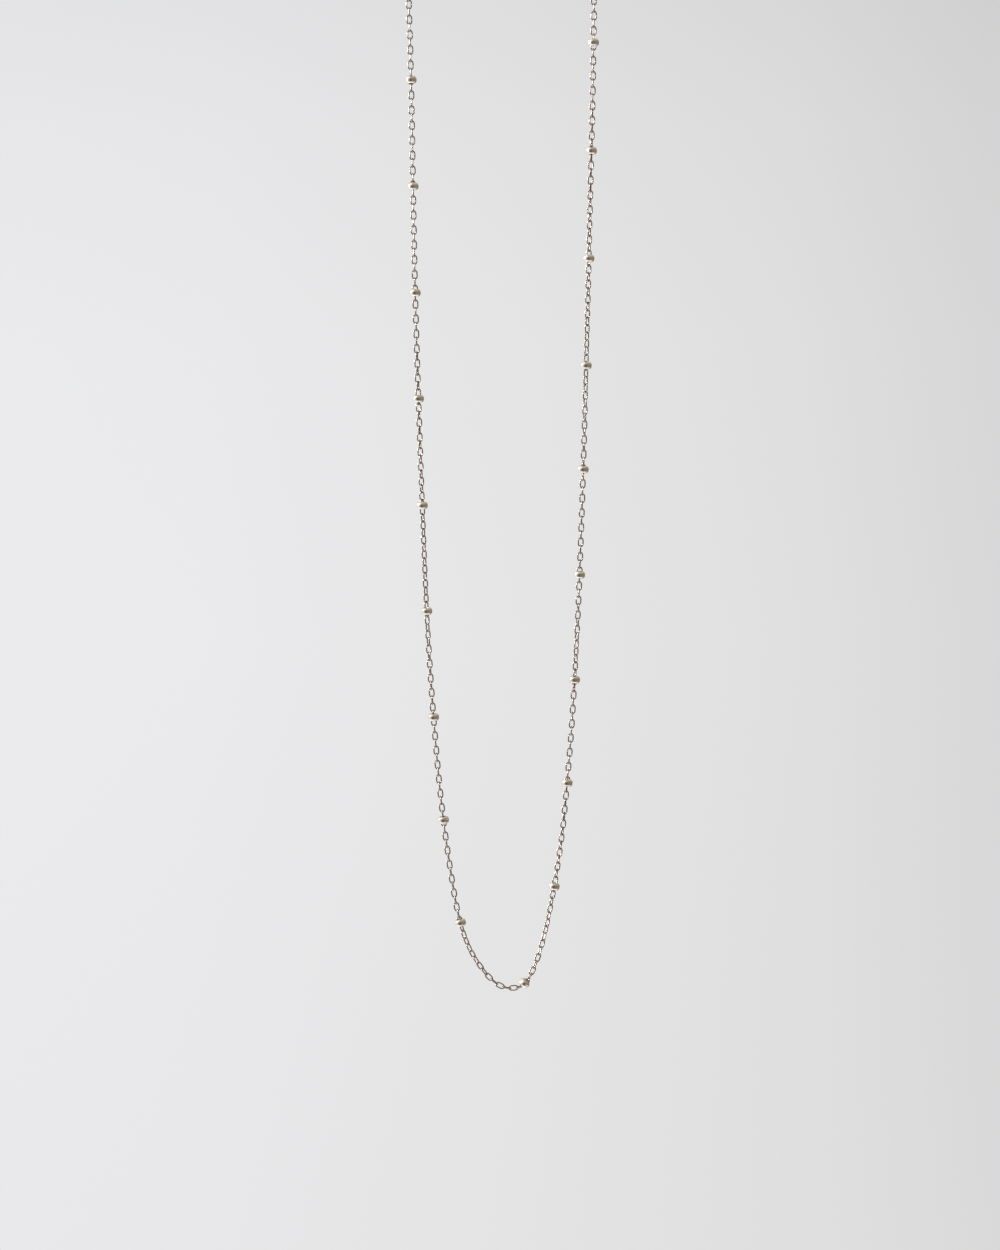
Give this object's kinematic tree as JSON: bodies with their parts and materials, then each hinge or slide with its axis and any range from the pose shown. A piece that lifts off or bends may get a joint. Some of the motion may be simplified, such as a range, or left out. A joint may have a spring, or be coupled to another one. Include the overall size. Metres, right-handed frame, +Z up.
{
  "type": "station necklace",
  "caption": "Fine silver-coloured cable chain necklace with small barrel beads at even steps and a plain ring clasp, hanging in a narrow loop.",
  "frame": {"origin": "under the middle of the clasp, at the top of the loop, where the necklace hangs", "axes": "+Z up along the hanging loop, +Y through the loop from its front to its back, +X to the right seen from the front"},
  "size_m": [0.0381, 0.0028, 0.2186],
  "materials": {
    "silver_chain": "polished silver wire",
    "silver_bead": "polished silver",
    "silver_clasp": "polished silver"
  },
  "bodies": {
    "root": {"chain": "silver_chain", "bead_01": "silver_bead", "bead_02": "silver_bead", "bead_03": "silver_bead", "bead_04": "silver_bead", "bead_05": "silver_bead", "bead_06": "silver_bead", "bead_07": "silver_bead", "bead_08": "silver_bead", "bead_09": "silver_bead", "bead_10": "silver_bead", "bead_11": "silver_bead", "bead_12": "silver_bead", "bead_13": "silver_bead", "bead_14": "silver_bead", "bead_15": "silver_bead", "bead_16": "silver_bead", "bead_17": "silver_bead", "bead_18": "silver_bead", "bead_19": "silver_bead", "bead_20": "silver_bead", "bead_21": "silver_bead", "end_link_left": "silver_chain", "end_link_right": "silver_chain", "end_ring": "silver_clasp", "clasp": "silver_clasp"}
  },
  "joints": []
}
